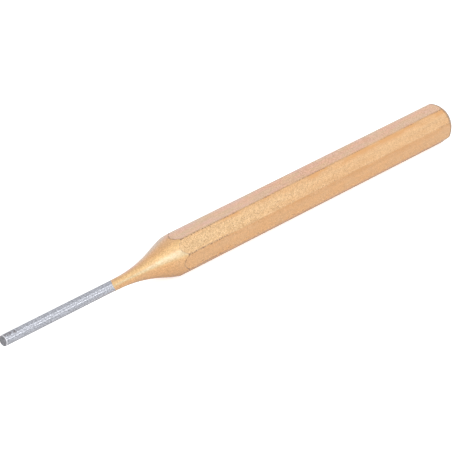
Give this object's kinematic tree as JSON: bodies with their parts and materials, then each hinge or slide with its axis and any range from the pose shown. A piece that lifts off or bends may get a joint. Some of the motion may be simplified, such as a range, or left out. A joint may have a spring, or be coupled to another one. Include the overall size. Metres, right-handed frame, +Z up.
{
  "type": "pin punch",
  "caption": "Slim steel pin punch: lacquered octagonal shank with a chamfered head, a turned taper and a straight bright pin.",
  "frame": {"origin": "on the surface that the tool lies on, under the middle of its length and width", "axes": "+X along the tool's axis, from the head towards the tip; +Z up, square to the flat that it lies on"},
  "size_m": [0.15, 0.0102, 0.0101],
  "materials": {
    "ground_steel": "hardened steel, ground along and round the pin",
    "gold_lacquer": "satin gold lacquer, finely grained"
  },
  "bodies": {
    "root": {"steel_punch": "ground_steel", "lacquer_coat": "gold_lacquer"}
  },
  "joints": []
}
